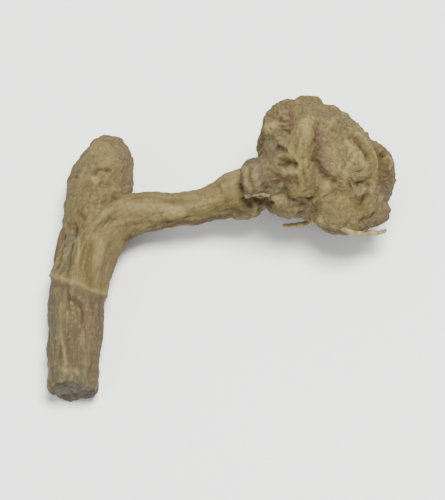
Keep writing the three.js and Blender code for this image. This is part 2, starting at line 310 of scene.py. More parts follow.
# Ridges, grooves and slits laid on the upper side, each: its kind, its width, its height or depth,
# how much it shows in colour, and the places it runs through, to the right and up. A ridge is pale, a groove
# is dark, and a slit is darker still.
# The pale of a ridge is partly the skin's pale tone and partly painted highlight; the dark of a groove and of
# a slit is painted shade.
LAID = [
    # the mother's lobes
    ("groove", 0.9, 0.55, 0.4, [(21.6, 27.4), (21.5, 22.2), (21.3, 18), (22.8, 15.2), (25.6, 13)]),
    ("ridge", 0.7, 0.15, 0.4, [(17.2, 24), (17.2, 18), (17.6, 12), (17.8, 10)]),
    ("groove", 0.5, 0.15, 0.35, [(18.4, 24), (18.2, 18), (18.6, 12), (18.8, 10)]),
    ("groove", 0.9, 0.5, 1, [(21.2, 19.4), (22.2, 16), (24, 14.2), (25.6, 13.4)]),
    ("groove", 0.8, 0.15, 0.2, [(26.2, 21.8), (26.9, 19), (26, 16)]),
    ("ridge", 1.5, 0.25, 0.65, [(26.4, 24.2), (28.1, 21.8), (30.7, 18.8), (32.1, 15.5)]),
    ("ridge", 1.5, 0.2, 0.65, [(28.7, 20.8), (27.7, 16.8), (25.7, 12.5)]),
    ("groove", 0.9, 0.8, 0.6, [(27.2, 25.2), (29.6, 23.6), (31.6, 20.8), (32.6, 18.4)]),
    ("ridge", 0.8, 0.5, 0.7, [(28.4, 25.7), (31, 24), (33.2, 21.3), (33.8, 16.8), (34.1, 14.2)]),
    ("ridge", 0.8, 0.4, 0.8, [(36.1, 20.5), (37.6, 18.8), (36.8, 16.2)]),
    ("slit", 0.9, 0.7, 0.9, [(34.9, 20.8), (36.1, 19.5)]),
    ("groove", 1.0, 0.4, 0.5, [(28.6, 13), (30.6, 13.6), (33.5, 13)]),
    ("groove", 0.9, 0.7, 0.8, [(29.6, 4.8), (32.1, 5.8), (34.6, 7.2)]),
    ("groove", 1.2, 0.6, 0.5, [(14.8, 29.8), (15.2, 27), (15, 24.4)]),
    ("groove", 1.0, 0.5, 0.4, [(12.6, 28.6), (13.4, 26.4), (12.6, 24.2)]),
    ("groove", 0.6, 0.35, 0.6, [(15.3, 10.3), (21, 10.6)]),
    ("groove", 0.6, 0.35, 0.6, [(15, 8.7), (20.6, 8.8)]),
    ("groove", 0.6, 0.35, 0.6, [(16, 7.1), (20.7, 7.3)]),
    # the pocket over the bud, the bud, and the finger's collar
    ("slit", 0.8, 0.9, 0.8, [(12, 18.2), (14.6, 17.9), (17.2, 17.2)]),
    ("ridge", 0.6, 0.1, 0.5, [(11.4, 19.3), (13.6, 20), (16.2, 19.5)]),
    ("ridge", 0.8, 0.35, 0.7, [(12.8, 16.4), (15.3, 16), (17.3, 16.3)]),
    ("groove", 0.8, 0.4, 0.9, [(11.8, 22), (13.2, 21.2), (14.8, 20.8)]),
    ("ridge", 0.8, 0.15, 0.6, [(12.4, 22.8), (14.6, 21.2), (17.5, 17.8)]),
    ("ridge", 1.0, 0.3, 0.9, [(5.7, 18), (5.6, 14.2), (7.2, 11.6)]),
    ("ridge", 1.2, 0.2, 0.5, [(7.6, 18.4), (7.4, 15), (8.6, 12.6)]),
    ("groove", 0.9, 0.4, 0.6, [(9.2, 13.8), (10.6, 12.2)]),
    ("groove", 0.5, 0.25, 0.5, [(9.4, 17.6), (11.6, 16.2), (14.8, 13.6)]),
    ("groove", 0.5, 0.2, 0.5, [(10.4, 14.2), (13, 13.4), (16.4, 13.6)]),
    ("groove", 0.7, 0.5, 0.7, [(4.5, 16.2), (4.5, 14), (4.9, 12)]),
    ("slit", 0.9, 0.7, 0.6, [(4.4, 10.5), (5.8, 9.8), (7.4, 9.3)]),
    ("slit", 0.9, 0.7, 0.8, [(9, 9.2), (10.4, 9.5), (12, 10)]),
    ("ridge", 0.9, 0.8, 0.5, [(8, 10.2), (8.2, 9.2), (7.8, 8.2), (7.2, 7)]),
    ("slit", 0.7, 0.5, 0.6, [(8.6, 8.4), (9.3, 7.4), (9.4, 6.2)]),
    # the finger's arm and shoulder
    ("ridge", 1.2, 0.4, 0.4,
     [(2, 11.8), (-3, 9.8), (-9, 7.9), (-14, 8.4), (-20, 8.8), (-25.4, 7.2), (-28.6, 2)]),
    ("ridge", 0.9, 0.25, 0.25, [(1, 8.4), (-6, 6.6), (-14, 6), (-20, 5.6), (-25, 2.6), (-27, -2)]),
    ("groove", 0.9, 0.15, 0.15, [(-3.6, 11.4), (-10, 10.2), (-16, 10.4)]),
    ("groove", 0.8, 0.3, 0.3, [(-18, 7.2), (-23, 6.2), (-27, 3.6), (-28.6, -4)]),
    ("groove", 0.6, 0.15, 0.4, [(-25, 4.4), (-19.4, 4.9), (-14, 5.6)]),
    ("groove", 0.6, 0.2, 0.35, [(-9, 5.9), (-3, 7.2), (1.6, 8)]),
    # the slot beside the leg
    ("groove", 1.7, 1.2, 0, [(-32.2, 7.4), (-32.8, 1), (-33.4, -2.6), (-34.4, -7)]),
    ("groove", 0.7, 0.4, 0.8, [(-34, 4.4), (-34.9, -1.6), (-35.9, -6.6)]),
    ("groove", 0.8, 0.3, 0.8, [(-34, 5.6), (-33, 4.4), (-32, 3.4)]),
    ("ridge", 0.5, 0.4, 0.6, [(-30.9, 2.6), (-30.7, -1), (-31.1, -4.2)]),
    # the branch
    ("groove", 0.9, 0.3, 0.6, [(-28.4, 8.8), (-26, 9.9), (-23.8, 10.6), (-21.6, 11.4)]),
    ("groove", 0.9, 0.4, 0.9, [(-28.6, 16), (-25.9, 17.5), (-23.2, 17)]),
    ("groove", 0.8, 0.3, 0.7, [(-26.6, 14.8), (-24.8, 14), (-23, 13.4)]),
    ("ridge", 1.1, 0.35, 0.3, [(-25.6, 12.4), (-23.4, 12.6), (-21.4, 12)]),
    ("groove", 0.8, 0.3, 0.7, [(-31.6, 8.6), (-30.2, 7.2), (-28.8, 5.8)]),
    # the ring and the wrinkles below it
    ("groove", 0.9, 0.5, 0.9, [(-35, -10), (-32, -10.9), (-29.8, -12.4), (-28.8, -14.6), (-28.8, -18)]),
    ("ridge", 0.5, 0.2, 0.6, [(-34.1, -18.8), (-33.2, -21.7), (-32.2, -25)]),
    ("groove", 0.7, 0.25, 0.4, [(-35.7, -19.6), (-35.3, -22.6)]),
    ("groove", 0.9, 0.25, 0.2, [(-29, -17), (-29.2, -24), (-29.6, -31)]),
]

# Broad patches of another tone on the upper side, each: its reach, its strength, and the places it runs
# through, to the right and up.
PATCHES = {
    # Partly the skin's pale tone, partly painted highlight on the lit tops of the lobes, knobs, welt and arm.
    "pale": [
        (1.6, 0.7, [(18.8, 27.2), (18.9, 25.2)]),
        (1.8, 0.6, [(24.7, 21.5), (24.4, 19.2), (25.4, 17.5)]),
        (2.6, 0.35, [(27, 20), (27.6, 15.4)]),
        (1.6, 0.4, [(32.6, 17), (33, 13)]),
        (2.6, 0.25, [(23.4, 8.2), (27.4, 9)]),
        (1.1, 0.8, [(22, 5.6), (22.4, 5.9)]),
        (1.2, 0.7, [(35, 10.6), (35.3, 10.2)]),
        (1.4, 0.9, [(9.8, 25.6), (11.3, 26.6)]),
        (1.6, 0.8, [(12, 11.9), (13.2, 9.9)]),
        (1.1, 0.3, [(20, 31), (22.4, 30.8)]),
        (2.2, 0.6, [(3.2, 16.2), (3.2, 12.2)]),
        (1.3, 0.9, [(-12.4, 8.6), (-9.9, 7.6), (-8.6, 7.8)]),
        (1.7, 0.5, [(-21.6, 9.9), (-18.2, 8.7), (-13.5, 9.2)]),
        (1.5, 0.5, [(-6.8, 10.2), (-1.5, 10.9), (1.2, 13.2)]),
        (2.2, 0.5, [(-26.3, 22.5), (-24.3, 21.5), (-24.9, 19.2)]),
        (0.8, 0.9, [(-27.6, 15.4), (-27.2, 14.8)]),
        (1.2, 0.5, [(-27, 2.5), (-25.3, 0.2), (-26.3, -3.1)]),
        (0.9, 0.5, [(-34.1, -12.4), (-34.4, -16.4), (-33.9, -19.7)]),
        (0.7, 0.6, [(-32.7, -25.8), (-32.5, -26.2)]),
        (0.7, 0.6, [(-30.1, -25.8), (-29.9, -26.1)]),
    ],
    # Dark brown, partly painted shade on the undersides and in the cavities.
    "umber": [
        (2.2, 0.6, [(15.4, 8.6), (20.7, 8.6)]),
        (1.3, 0.7, [(12, 14.3), (14.6, 14.3), (16.7, 14.9)]),
        (1.5, 0.7, [(23.4, 3.8), (28.2, 2.9), (32.1, 4.2)]),
        (1.3, 0.6, [(35.2, 14.2), (35.7, 12.9)]),
        (1.7, 0.6, [(34.8, 19.8), (36.4, 17.6), (36.4, 14.8)]),
        (1.5, 0.6, [(6.2, 9.6), (9, 8.6), (11, 9)]),
        (1.6, 1.0, [(-5.4, 5), (-0.8, 6), (3.2, 7.4)]),
        (1.3, 0.9, [(-20.4, 1.9), (-14.9, 3.7), (-9.5, 4.7), (-5.5, 5.2)]),
        (0.7, 0.4, [(-25.3, 14.5), (-24.3, 13.9)]),
        (0.8, 0.6, [(-33.4, 4.9), (-33, 4.5)]),
        (3.0, 0.2, [(-31.4, -14), (-31.4, -20), (-31.6, -25)]),
    ],
    "ochre": [
        (2.0, 0.3, [(17.6, 22.6), (17.2, 17.2), (17.8, 12.2)]),
        (1.1, 0.9, [(28.3, 24), (30.5, 22.8), (31.6, 20.8), (32.3, 19.2)]),
        # The dark ochre corner, partly painted shade.
        (1.7, 0.95, [(34.5, 20.5), (35.6, 18.5), (35.2, 15.8)]),
        (2.0, 0.9, [(31.1, 9.4), (31.7, 8.1)]),
        (0.8, 0.6, [(16.6, 23.5), (16.4, 18.8), (16.8, 13.5)]),
        (0.8, 0.55, [(19.4, 22.8), (19.4, 16.8), (19.6, 12.2)]),
        (1.6, 0.5, [(26, 13.2), (28.1, 10.9)]),
        (1.8, 0.7, [(-0.8, 8.2), (2.6, 9.2), (4.9, 8.9)]),
        (1.2, 0.5, [(-6.8, 6.5), (-2.8, 7.1)]),
        (1.5, 0.8, [(-29.8, 2.6), (-29.2, -2.4), (-28.4, -8)]),
        (1.2, 0.45, [(-25.3, 18.2), (-26.6, 14.2), (-28, 11.5)]),
        (1.3, 0.5, [(9.3, 23.4), (9.7, 21.5)]),
        (1.6, 0.7, [(11.4, 16.6), (12.6, 15), (16.2, 15)]),
    ],
    "mauve": [
        (2.2, 1.0, [(-21.4, 21), (-20.6, 16.2), (-21.2, 12.6)]),
        (1.5, 0.6, [(-24.9, -1.8), (-25.2, -5.1)]),
        (1.7, 0.95, [(22.4, 25), (22.6, 20.2), (22.8, 17)]),
        (2.6, 0.6, [(7.6, 17.5), (8.2, 14.8)]),
        (2.0, 0.6, [(30.1, 14.5), (32.4, 12.5)]),
        (2.4, 0.7, [(34.4, 12.6), (35.2, 9.6), (34.6, 6.6)]),
        (1.5, 0.7, [(-29, -12.8), (-27.8, -16.4), (-28, -21.1)]),
        (1.6, 0.5, [(18, 31.8), (18.7, 28.8)]),
        (2.2, 0.6, [(12.6, 29.6), (14.4, 26.8)]),
        (2.4, 0.5, [(23.4, 29.4), (26.6, 27)]),
        (1.5, 0.6, [(1.6, 15.8), (2.6, 16.2)]),
        (1.5, 0.6, [(-32, -30), (-30.3, -31)]),
    ],
    # Partly grey skin, partly painted shade along the leg's left edge, in the slot beside it and above the
    # bud.
    "grey": [
        (1.6, 0.9, [(-33.3, 2.8), (-33.5, -0.8), (-34.2, -4.4)]),
        (2.0, 0.9, [(-36.8, -8.6), (-36.8, -15.1), (-36.6, -23)]),
        (1.3, 0.5, [(-31, 17.2), (-32, 14.8)]),
        (2.0, 0.7, [(10.6, 23), (12, 21)]),
        (2.2, 0.9, [(-35.4, -26.4), (-31.7, -27.6), (-28, -26.6)]),
        (1.6, 0.5, [(26, 25.8), (28.1, 25.5)]),
        (1.1, 0.6, [(-21.3, -0.5), (-22.5, -3.1)]),
    ],
}

# A dip on the upper side: its place to the right and up, its radius and its depth.
DIP = ((31.4, 8.7), 2.0, 0.5)


# ---------------------------------------------------------------- the smooth body

VOXEL = 0.32  # the grain of the finished skin
BODY_SMOOTHING = 8  # times over


def made_mesh(name, bm):
    mesh = bpy.data.meshes.new(name)
    bm.to_mesh(mesh)
    bm.free()
    return mesh


def in_scene(name, mesh):
    thing = bpy.data.objects.new(name, mesh)
    bpy.context.scene.collection.objects.link(thing)
    return thing


def grown_together():
    """All the organs as one smooth skin of even quads."""
    bm = bmesh.new()
    for organ in ORGANS:
        organ.swell(bm)
    bmesh.ops.recalc_face_normals(bm, faces=bm.faces)
    rough = in_scene("rough_body", made_mesh("rough_body", bm))
    remesh = rough.modifiers.new("one_skin", "REMESH")
    remesh.mode, remesh.voxel_size = "VOXEL", VOXEL
    whole = bpy.data.meshes.new_from_object(rough.evaluated_get(bpy.context.evaluated_depsgraph_get()))
    bpy.data.objects.remove(rough)
    bm = bmesh.new()
    bm.from_mesh(whole)
    bpy.data.meshes.remove(whole)
    relax(bm, BODY_SMOOTHING)
    return bm


def relax(bm, times):
    """Moves each point halfway to the middle of its neighbours, some times over."""
    axes = {"use_axis_x": True, "use_axis_y": True, "use_axis_z": True}
    for _ in range(times):
        bmesh.ops.smooth_vert(bm, verts=bm.verts, factor=0.5, **axes)


# ---------------------------------------------------------------- the dried skin

# Furrows along an organ, each: its height, how closely they lie across and along, and where they start.
FURROWS = [(0.7, 0.15, 0.022, 3.1), (0.4, 0.34, 0.05, 7.7), (0.22, 0.75, 0.14, 1.9)]
# Wrinkles round an organ, in the same order.
WRINKLES = [(0.4, 0.08, 0.33, 0), (0.22, 0.15, 0.8, 5)]
RING_REACH = 6  # how far along an organ a ring is felt
SHEATH_FADE = 2.2  # how soon the dry sheath below a ring fades
BLEND = 0.6  # how far the skins of two organs run into one another
LEAST_SHARE = 0.03  # an organ that counts for less is left out
GRAIN_GAP = 100  # sets the grain of each organ apart from the others'
STROKE_STEP = 0.6  # between the places worked out along a stroke
END_RADIUS = 5.4  # of the hollow in the finger's broken end
END_REACH = 3  # how far along the finger that hollow may lie from its end


def furrow(x, y, z):
    """0 at the bottom of a furrow, near 1 on the swelling between two."""
    return min(1.0, math.hypot(noise.noise(Vector((x, y, z))) * 3, 0.1) - 0.1) ** 0.8


def crumple(p):
    """Swellings and creases that run every way."""
    q = p + 1.8 * noise.noise_vector(p * 0.22)
    swell = 0.6 * noise.noise(p * 0.13) + 0.45 * noise.noise(p * 0.3)
    creases = 0.4 * (furrow(*(q * 0.17)) - 0.5) + 0.32 * (furrow(*(q * 0.38)) - 0.5)
    return swell + creases + 0.2 * (furrow(*(q * 0.85)) - 0.5)


def bell(t, width):
    return math.exp(-((t / width) ** 2))


def lip(t, width):
    """The profile across a ring, a torn sheath's edge: a long rise up to t = 0, then a sudden drop."""
    if t < 0:
        return math.exp(t / (2.6 * width))
    return 1.25 * bell(t, 0.8 * width) - 0.25 * math.exp(-t / (2.5 * width))


def skin_height(organ, s, x, y):
    """How far the dried skin stands over the smooth body here, with its ring and sheath marks."""
    angle = organ.twist * s
    x, y = x * math.cos(angle) - y * math.sin(angle), x * math.sin(angle) + y * math.cos(angle)
    wander = 1.3 * noise.noise(Vector((x * 0.1, y * 0.1, s * 0.09)))
    sx, sy = x + wander, y + wander * 0.7
    height = 0.0
    for tall, across, along, start in FURROWS:
        height += organ.along_grain * tall * (furrow(sx * across, sy * across, s * along + start) - 0.5)
    bend = 1.1 * noise.noise(Vector((x * 0.14, y * 0.14, s * 0.05 + 9)))
    for tall, across, along, start in WRINKLES:
        height += organ.ringed * tall * (furrow(x * across, y * across, (s + bend) * along + start) - 0.5)
    turn = math.atan2(y, x) - angle
    ring = sheath = 0.0
    for share, tall, width, lean, lean_turn, ragged in organ.rings:
        t = s - share * organ.length - lean * math.cos(turn - math.radians(lean_turn))
        if abs(t) < RING_REACH:
            rx, ry = math.cos(turn) * 1.7, math.sin(turn) * 1.7
            gap = 1 - min(1.1, max(0.12, 0.6 + 1.5 * noise.noise(Vector((rx, ry, share * 40)))))
            here = 1 - ragged * gap
            tatter = 0.9 * noise.noise(Vector((x * 0.22, y * 0.22, share * 50)))
            tatter += 0.35 * noise.noise(Vector((x * 1.1, y * 1.1, share * 60)))
            t -= ragged * (bend * 0.6 - tatter)
            height += tall * here * (lip(t, width) - 0.15)
            ring = max(ring, bell(t + 0.25 * width, width * 0.55) * here * min(1, 2.5 * tall))
            if t < 0:
                sheath = max(sheath, math.exp(t / SHEATH_FADE) * here)
    return height, ring, sheath


def flat_foot(bm):
    """Flattens the skin wherever it would reach below the table."""
    for vert in bm.verts:
        vert.co.z = max(vert.co.z, TABLE_HEIGHT)


def raised(bm, marks):
    """How far each point of the smooth body is raised, and where it lies in its organ. Fills marks too."""
    heights, grains = [], []
    for vert in bm.verts:
        p = vert.co
        spots = [(organ, *organ.locate(p)) for organ in ORGANS]
        owner, s, x, y, nearest = min(spots, key=lambda spot: spot[4])
        grains.append((x, y, s + GRAIN_GAP * ORGANS.index(owner)))
        total = height = ring = sheath = tint = grainy = lumpy = 0.0
        for organ, s, x, y, gap in spots:
            weight = math.exp((nearest - gap) / BLEND)
            if weight > LEAST_SHARE:
                own_height, own_ring, own_sheath = skin_height(organ, s, x, y)
                total += weight
                height += weight * own_height
                ring += weight * own_ring
                sheath += weight * own_sheath
                tint += weight * organ.tint_at(s, x, y)
                grainy += weight * organ.along_grain
                lumpy += weight * organ.lumpy
        heights.append((height + lumpy * crumple(p)) / total)
        for name, value in (("ring", ring), ("sheath", sheath), ("tint", tint), ("grainy", grainy)):
            marks[name].append(value / total)
    return heights, grains


class UpperSide:
    """Finds points of the smooth body from how far right and up they lie in the tilted view."""

    def __init__(self, bm):
        self.verts = [vert for vert in bm.verts if vert.normal.dot(NEAR) > 0]
        self.tree = kdtree.KDTree(len(self.verts))
        for i, vert in enumerate(self.verts):
            self.tree.insert((vert.co.x, vert.co.dot(UP), 0), i)
        self.tree.balance()

    def vert_at(self, place):
        """The point nearest to the view of those at the place."""
        found = self.tree.find_range((*place, 0), VOXEL) or [self.tree.find((*place, 0))]
        return max((self.verts[i] for _, i, _ in found), key=lambda vert: vert.co.dot(NEAR))


def along_stroke(upper, finder, points, reach):
    """How far off a stroke each point of the skin within reach is, and how much of it shows there.

    A stroke fades from all, 1, to nothing, 0, at its two ends.
    """
    rough = [Vector(p) for p in points]
    count = max(6, int(sum((b - a).length for a, b in zip(rough, rough[1:])) / STROKE_STEP))
    ways = [upper.vert_at(q) for q in smooth_line(rough, count)]
    line = smooth_line([vert.co for vert in ways[::3]] + [ways[-1].co], count)
    best = {}
    for j in range(count - 1):
        a, b = line[j], line[j + 1]
        run = b - a
        for q, i, _ in finder.find_range((a + b) / 2, reach + run.length):
            share = min(max((q - a).dot(run) / max(run.length_squared, 1e-9), 0), 1)
            far = (q - a - run * share).length
            if i not in best or far < best[i][0]:
                along = (j + share) / (count - 1)
                fade = min(1.0, 5 * along, 5 * (1 - along))
                best[i] = (far, fade * fade * (3 - 2 * fade))
    return best


def lay_strokes(bm, upper, finder, heights, marks):
    """Adds the listed ridges, grooves, slits and patches."""
    for kind, width, tall, shade, points in LAID:
        for i, (far, fade) in along_stroke(upper, finder, points, 2.6 * width).items():
            far *= 1 + 0.35 * noise.noise(bm.verts[i].co * 0.7)
            shape = bell(far, width) * fade
            # Ridges take the pale tone, partly painted highlight; grooves and slits take the dark umber tone
            # as painted shade.
            tone = "pale" if kind == "ridge" else "umber"
            heights[i] += tall * shape if kind == "ridge" else -tall * shape
            marks[tone][i] = max(marks[tone][i], shade * bell(far, 0.8 * width) * fade)
            if kind != "ridge":
                marks["pale"][i] *= 1 - shape * min(shade * 2, 1)
            # A slit is darkened with painted shade.
            if kind == "slit":
                marks["scar"][i] = max(marks["scar"][i], 0.7 * shade * shape)
    for tone, patches in PATCHES.items():
        for reach, strength, points in patches:
            for i, (far, _) in along_stroke(upper, finder, points, 2.4 * reach).items():
                far *= 1 + 0.6 * noise.noise(bm.verts[i].co * 0.45 + Vector((5, 3, 1)))
                marks[tone][i] = max(marks[tone][i], strength * bell(far, reach))


def sample_at(share):
    """Which of the places along a middle line stands for a share of its length."""
    return min(max(int(share * SAMPLES), 0), SAMPLES - 1)


def pock(upper, finder, heights, marks):
    """Adds the root scars, which are rimmed pits, and the given dip."""
    for organ in ORGANS:
        for _ in range(organ.scars):
            share = random.uniform(0.08, 0.92)
            if organ.rings and random.random() < 0.6:
                share = random.choice(organ.rings)[0] + random.uniform(-0.03, 0.04)
            turn = random.gauss(math.pi, 1.1)
            k = sample_at(share)
            r = organ.radii[k]
            place = organ.line[k] + organ.up[k] * r * math.cos(turn) + organ.side[k] * r * math.sin(turn)
            size, deep = random.uniform(0.5, 1.15), random.uniform(0.5, 1.0)
            for _, i, far in finder.find_range(place, 2.6 * size):
                off = far / size
                pit = bell(off, 0.6)
                heights[i] += size * deep * (0.32 * bell(off - 1, 0.42) - 0.6 * pit)
                marks["scar"][i] = max(marks["scar"][i], pit * deep)
                marks["ring"][i] = max(marks["ring"][i], 0.5 * bell(off - 1, 0.35) * deep)
    place, size, deep = DIP
    for _, i, far in finder.find_range(upper.vert_at(place).co, 2.6 * size):
        heights[i] -= deep * bell(far / size, 0.9)


def break_end(bm, heights, marks, grains):
    """The broken end of the finger: a rough hollow face with a raised rim."""
    for i, vert in enumerate(bm.verts):
        x, y, s = grains[i]
        s -= GRAIN_GAP * ORGANS.index(FINGER)
        if abs(s - FINGER.length) < END_REACH:
            facing = vert.normal.dot(FINGER.ahead[-1])
            flesh = min(1.0, max(0.0, (facing - 0.6) * 4))
            hollow = 1 - min(1.0, math.hypot(x, y) / END_RADIUS) ** 2
            depth = 0.7 * hollow + 0.4 * noise.noise(vert.co * 0.9) + 0.25 * noise.noise(vert.co * 2.3)
            heights[i] -= flesh * depth
            marks["flesh"][i] = flesh


def carve(bm):
    """Moves the smooth body's points to make the dried skin.

    Returns a finder of the points where they were, what each of them shows, and its place in the grain.
    """
    bm.normal_update()
    bm.verts.ensure_lookup_table()
    count = len(bm.verts)
    finder = kdtree.KDTree(count)
    for i, vert in enumerate(bm.verts):
        finder.insert(vert.co, i)
    finder.balance()
    marks = {name: [] for name in ("ring", "sheath", "tint", "grainy")}
    marks.update((name, [0.0] * count) for name in ("scar", "flesh", *PATCHES))
    heights, grains = raised(bm, marks)
    upper = UpperSide(bm)
    lay_strokes(bm, upper, finder, heights, marks)
    pock(upper, finder, heights, marks)
    break_end(bm, heights, marks, grains)
    moved = [vert.co + vert.normal * height for vert, height in zip(bm.verts, heights)]
    for vert, place in zip(bm.verts, moved):
        vert.co = place
    flat_foot(bm)
    bm.normal_update()
    return finder, marks, grains


def hollows(bm, times, reach):
    """How deep each point lies below a smoothed copy: 0.5 is level, 1 a deep furrow and 0 a sharp ridge."""
    soft = bm.copy()
    relax(soft, times)
    bm.normal_update()
    depths = [(b.co - a.co).dot(a.normal) / reach for a, b in zip(bm.verts, soft.verts)]
    soft.free()
    return [0.5 + 0.5 * max(-1.0, min(1.0, depth)) for depth in depths]


def fit_to_frame(mesh):
    """The move that sets the finished mesh, in millimetres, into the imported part's box, in metres."""
    low = Vector(min(v.co[k] for v in mesh.vertices) for k in range(3))
    high = Vector(max(v.co[k] for v in mesh.vertices) for k in range(3))
    box_low, box_high = (Vector(c) for c in NODE_BOX)
    size = Vector((box_high[k] - box_low[k]) / (high[k] - low[k]) for k in range(3))
    return Matrix.Translation(box_low) @ Matrix.Diagonal((*size, 1)) @ Matrix.Translation(-low)


# ---------------------------------------------------------------- roots, hairs and scales

ROOT_PLACES = 40
ROOT_SIDES = 12
HAIRS = 60
HAIR_RADII = [0.13, 0.12, 0.1, 0.09, 0.07, 0.04]
HAIR_SIDES = 5
BOX_GAP = 0.4  # how far inside the box a hair's tip stays
SCALE_PLACES = 16
SCALE_SIDES = 14

# Dried roots, each: radius, and the places it runs through.
ROOTS = [
    (0.9, laid_out((25, 5.6, 13), (27.4, 4.2, 14), (30.2, 2.9, 12), (33.4, 3, 9.4), (36.8, 3.6, 7.4))),
    (0.8, [(21.5, 4.5, 9), (19.6, 2.1, 7.4), (17, 1.7, 6.8), (13.8, 1.5, 6.4)]),
    (0.8, [(28.5, 16.5, 8.5), (31, 20, 6.4), (33, 22.2, 5)]),
    (0.8, [(12, 22, 9), (10.4, 24.6, 7), (9.5, 26, 5.5)]),
]

# Torn scales, each: half its width, and the places it runs through.
SCALES = [
    (0.6, laid_out((-34.8, -7.4, 11.6), (-36.2, -6.7, 11), (-37.2, -6, 10.2))),
    (0.6, laid_out((5.4, 10.9, 14.4), (7, 11.4, 16.6), (9, 11.5, 17.4), (10.8, 10.9, 17))),
]


def thread_stations(line, radii, flat=1.0, across=None):
    """Sections for a thin tube along a line. A flat below 1 makes it a strip, as wide as the radii."""
    made = []
    for i, (middle, radius) in enumerate(zip(line, radii)):
        ahead = (line[min(i + 1, len(line) - 1)] - line[max(i - 1, 0)]).normalized()
        side = (across or Vector((0.3, 0.2, 1))).cross(ahead).normalized()
        turn = Matrix((side * radius, ahead.cross(side) * radius * flat, ahead)).transposed().to_4x4()
        made.append(Matrix.Translation(middle) @ turn)
    return made


def dried_roots():
    """The roots, each thinner to its tip by half, and crooked."""
    bm = bmesh.new()
    for radius, points in ROOTS:
        line = smooth_line([Vector(p) for p in points], ROOT_PLACES)
        last = ROOT_PLACES - 1
        radii = [radius * (0.3 if i == last else 1 - 0.5 * i / last) * (1 + 0.25 * noise.noise(middle * 0.9))
                 for i, middle in enumerate(line)]
        bent = [middle + 0.35 * noise.noise_vector(middle * 0.35) for middle in line]
        for vert in tube(bm, thread_stations(bent, radii), ROOT_SIDES):
            vert.co += 0.16 * noise.noise_vector(vert.co * 1.5)
    return bm


def root_hairs(bm, finder):
    """Short stiff hairs left at the nodes, away from the upper side."""
    hairs = bmesh.new()
    for _ in range(HAIRS):
        organ = random.choice((MOTHER, MOTHER, FINGER, BRANCH))
        k = sample_at(random.choice(organ.rings)[0] + random.gauss(0, 0.03))
        turn = random.uniform(0, 2 * math.pi)
        out = organ.up[k] * math.cos(turn) + organ.side[k] * math.sin(turn)
        vert = bm.verts[finder.find(organ.line[k] + out * organ.radii[k])[1]]
        stray = 0.5 * Vector(random.gauss(0, 1) for _ in range(3))
        lean = (vert.normal + 0.8 * organ.ahead[k] + stray).normalized()
        length = random.uniform(0.7, 2.2)
        tip = vert.co + lean * length + Vector((0, 0, -0.3 * length))
        if inside_box(tip) and vert.normal.dot(NEAR) <= 0.3:
            root = vert.co - vert.normal * 0.3
            line = smooth_line([root, vert.co + vert.normal * 0.25 * length, tip], len(HAIR_RADII))
            tube(hairs, thread_stations(line, HAIR_RADII), HAIR_SIDES)
    return hairs


def torn_scales():
    """Papery strips of old leaf sheaths, standing a little off the skin."""
    bm = bmesh.new()
    for half, points in SCALES:
        line = smooth_line([Vector(p) for p in points], SCALE_PLACES)
        last = SCALE_PLACES - 1
        radii = [half * (1 - 0.55 * (i / last) ** 2) * (1 + 0.3 * noise.noise(middle * 1.3))
                 for i, middle in enumerate(line)]
        for vert in tube(bm, thread_stations(line, radii, 0.16, NEAR), SCALE_SIDES):
            vert.co += 0.22 * noise.noise_vector(vert.co * 0.8)
    return bm


def inside_box(p):
    """Whether a place, in millimetres, is well inside the box that the rhizome fills."""
    (x0, y0, _), (x1, y1, z1) = [[c / MM for c in corner] for corner in NODE_BOX]
    x, y = p.x - ORIGIN.x, p.y - ORIGIN.y
    in_plan = x0 + BOX_GAP < x < x1 - BOX_GAP and y0 + BOX_GAP < y < y1 - BOX_GAP
    return in_plan and TABLE_HEIGHT < p.z < z1 - BOX_GAP


bm = grown_together()
finder, marks, grains = carve(bm)
extras = {
    "dried_roots": dried_roots(),
    "root_hairs": root_hairs(bm, finder),
    "torn_scales": torn_scales(),
}
# These two marks also paint shade into furrows and hollows, and a highlight onto sharp ridges, in the skin's
# colour.
marks["furrow"] = hollows(bm, times=5, reach=0.16)
marks["hollow"] = hollows(bm, times=40, reach=0.7)
for face in bm.faces:
    face.smooth = True
body_mesh = made_mesh("rhizome_body", bm)
place = fit_to_frame(body_mesh)
body_mesh.transform(place)
for name, values in marks.items():
    body_mesh.attributes.new(name, "FLOAT", "POINT").data.foreach_set("value", values)
grain_data = body_mesh.attributes.new("grain", "FLOAT_VECTOR", "POINT").data
grain_data.foreach_set("vector", [c for g in grains for c in g])
body = in_scene("rhizome_body", body_mesh)


# ---------------------------------------------------------------- materials

class Field:
    """A number that varies over a surface. Arithmetic on it adds Math nodes."""

    def __init__(self, finish, socket):
        self.finish, self.socket = finish, socket

    def _with(self, operation, *values):
        made = self.finish.node("ShaderNodeMath", {"operation": operation}, dict(enumerate(values)))
        return Field(self.finish, made.outputs[0])

    def __add__(self, other):
        return self._with("ADD", self, other)

    def __sub__(self, other):
        return self._with("SUBTRACT", self, other)

    def __rsub__(self, other):
        return self._with("SUBTRACT", other, self)

    def __mul__(self, other):
        return self._with("MULTIPLY", self, other)

    def __abs__(self):
        return self._with("ABSOLUTE", self)

    __radd__, __rmul__ = __add__, __mul__

    def clip(self, low, high):
        """0 below low, 1 above high, and smooth in between."""
        settings = {"interpolation_type": "SMOOTHSTEP"}
        values = {"Value": self, "From Min": low, "From Max": high}
        return Field(self.finish, self.finish.node("ShaderNodeMapRange", settings, values).outputs["Result"])


